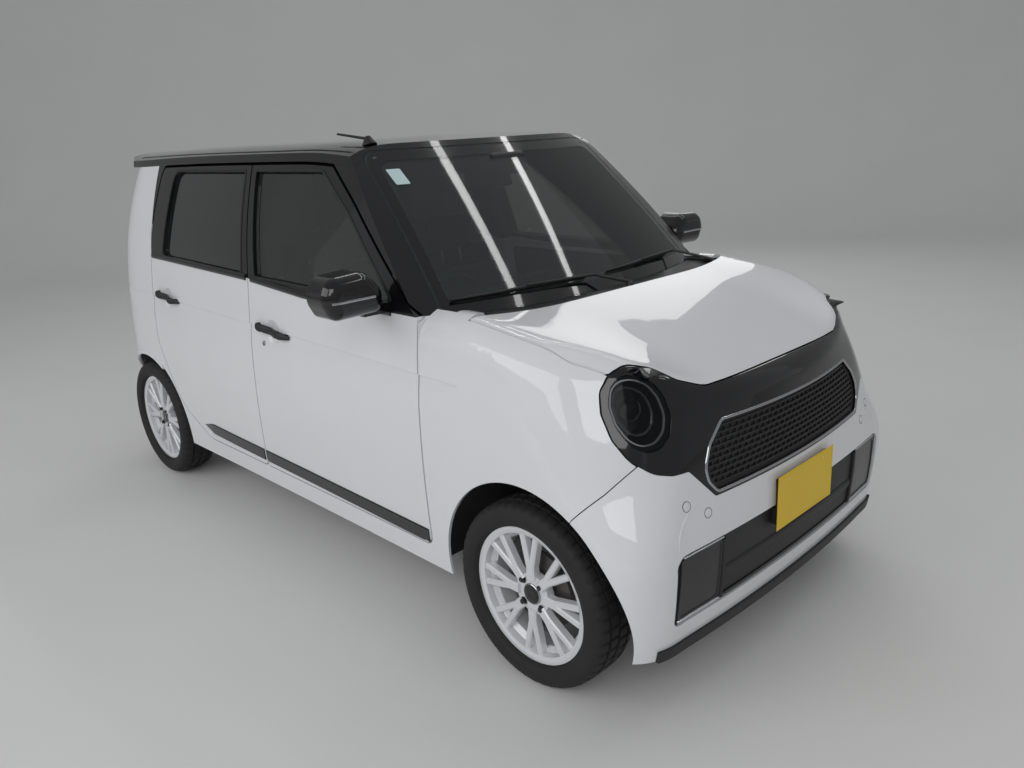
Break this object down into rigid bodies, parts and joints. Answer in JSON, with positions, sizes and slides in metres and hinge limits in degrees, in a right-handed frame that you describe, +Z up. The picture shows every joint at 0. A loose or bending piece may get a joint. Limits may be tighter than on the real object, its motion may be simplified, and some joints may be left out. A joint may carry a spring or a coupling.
{
  "type": "kei car",
  "caption": "Small five-door hatchback with a tall cabin, round headlamps in a black front panel, opening doors, bonnet and tailgate, and steered front wheels.",
  "frame": {"origin": "on the ground under the middle of the car's length and width", "axes": "+X forward along the car, +Y to its left, +Z up"},
  "size_m": [3.3975, 1.885, 1.5449],
  "materials": {
    "body_paint": "gloss",
    "gloss_black": "gloss",
    "underbody": "satin",
    "black_plastic": "matte",
    "screen_glass": "gloss",
    "side_glass": "gloss",
    "dark_glass": "gloss",
    "lamp_bowl": "gloss",
    "lamp_glass": "gloss",
    "engine_metal": "satin",
    "steel": "satin",
    "exhaust_steel": "satin",
    "tail_lamp": "gloss",
    "plate": "satin",
    "cabin_plastic": "matte",
    "seat_fabric": "matte",
    "tyre": "matte",
    "rim_paint": "gloss"
  },
  "bodies": {
    "car_body": {"body_sides": "body_paint", "quarter_panels": "body_paint", "roof": "gloss_black", "floor_pan": "underbody", "firewall": "underbody", "cowl": "black_plastic", "windscreen": "screen_glass", "wheel_houses": "black_plastic", "wings": "body_paint", "front_bumper": "body_paint", "front_lip": "black_plastic", "lower_grille": "black_plastic", "grille_surround": "gloss_black", "grille": "black_plastic", "headlamps": "lamp_bowl", "headlamp_lenses": "lamp_glass", "front_frame": "underbody", "engine": "engine_metal", "front_subframe": "steel", "rear_axle": "steel", "fuel_tank": "black_plastic", "exhaust": "exhaust_steel", "rear_bumper": "body_paint", "rear_panel": "underbody", "tail_lamps": "tail_lamp", "front_plate": "plate", "dashboard": "cabin_plastic", "front_seats": "seat_fabric", "rear_seat": "seat_fabric"},
    "bonnet": {"bonnet": "body_paint"},
    "tailgate": {"tailgate": "body_paint", "tailgate_glass": "dark_glass", "spoiler": "gloss_black"},
    "fuel_lid": {"fuel_lid": "body_paint"},
    "steering_wheel": {"steering_wheel": "cabin_plastic"},
    "door_front_right": {"door_front_right": "body_paint", "glass_front_right": "side_glass", "mirror_right": "gloss_black"},
    "door_rear_right": {"door_rear_right": "body_paint", "glass_rear_right": "dark_glass"},
    "knuckle_right": {"knuckle_right": "steel"},
    "door_front_left": {"door_front_left": "body_paint", "glass_front_left": "side_glass", "mirror_left": "gloss_black"},
    "door_rear_left": {"door_rear_left": "body_paint", "glass_rear_left": "dark_glass"},
    "knuckle_left": {"knuckle_left": "steel"},
    "wheel_front_right": {"tyre_front_right": "tyre", "rim_front_right": "rim_paint"},
    "wheel_front_left": {"tyre_front_left": "tyre", "rim_front_left": "rim_paint"},
    "wheel_rear_right": {"tyre_rear_right": "tyre", "rim_rear_right": "rim_paint"},
    "wheel_rear_left": {"tyre_rear_left": "tyre", "rim_rear_left": "rim_paint"}
  },
  "joints": [
    {"name": "steer_right", "type": "hinge", "parent": "car_body", "child": "knuckle_right", "pos_m": [1.2375, -0.6, 0.281], "axis": [0, 0, 1], "range_deg": [-35, 35]},
    {"name": "steer_left", "type": "hinge", "parent": "car_body", "child": "knuckle_left", "pos_m": [1.2375, 0.6, 0.281], "axis": [0, 0, 1], "range_deg": [-35, 35]},
    {"name": "steering_wheel_turn", "type": "hinge", "parent": "car_body", "child": "steering_wheel", "pos_m": [0.6, -0.33, 0.85], "axis": [-0.9135, 0, 0.4067], "range_deg": [-540, 540]},
    {"name": "wheel_front_right_spin", "type": "hinge", "parent": "knuckle_right", "child": "wheel_front_right", "pos_m": [1.2375, -0.6525, 0.281], "axis": [0, 1, 0], "continuous": true},
    {"name": "wheel_front_left_spin", "type": "hinge", "parent": "knuckle_left", "child": "wheel_front_left", "pos_m": [1.2375, 0.6525, 0.281], "axis": [0, 1, 0], "continuous": true},
    {"name": "wheel_rear_right_spin", "type": "hinge", "parent": "car_body", "child": "wheel_rear_right", "pos_m": [-1.2825, -0.6525, 0.281], "axis": [0, 1, 0], "continuous": true},
    {"name": "wheel_rear_left_spin", "type": "hinge", "parent": "car_body", "child": "wheel_rear_left", "pos_m": [-1.2825, 0.6525, 0.281], "axis": [0, 1, 0], "continuous": true},
    {"name": "door_front_right_hinge", "type": "hinge", "parent": "car_body", "child": "door_front_right", "pos_m": [0.82, -0.7345, 0.65], "axis": [0, 0, 1], "range_deg": [0, 65]},
    {"name": "door_front_left_hinge", "type": "hinge", "parent": "car_body", "child": "door_front_left", "pos_m": [0.82, 0.7345, 0.65], "axis": [0, 0, -1], "range_deg": [0, 65]},
    {"name": "door_rear_right_hinge", "type": "hinge", "parent": "car_body", "child": "door_rear_right", "pos_m": [-0.211, -0.7315, 0.65], "axis": [0, 0, 1], "range_deg": [0, 70]},
    {"name": "door_rear_left_hinge", "type": "hinge", "parent": "car_body", "child": "door_rear_left", "pos_m": [-0.211, 0.7315, 0.65], "axis": [0, 0, -1], "range_deg": [0, 70]},
    {"name": "tailgate_hinge", "type": "hinge", "parent": "car_body", "child": "tailgate", "pos_m": [-1.398, 0, 1.541], "axis": [0, 1, 0], "range_deg": [0, 80]},
    {"name": "bonnet_hinge", "type": "hinge", "parent": "car_body", "child": "bonnet", "pos_m": [0.99, 0, 1.052], "axis": [0, -1, 0], "range_deg": [0, 50]},
    {"name": "fuel_lid_hinge", "type": "hinge", "parent": "car_body", "child": "fuel_lid", "pos_m": [-1.2, 0.7375, 0.83], "axis": [0, 0, -1], "range_deg": [0, 90]}
  ],
  "couplings": [
    {"joint": "steer_left", "follows": "steer_right", "ratio": 1},
    {"joint": "steering_wheel_turn", "follows": "steer_right", "ratio": 15.429}
  ]
}
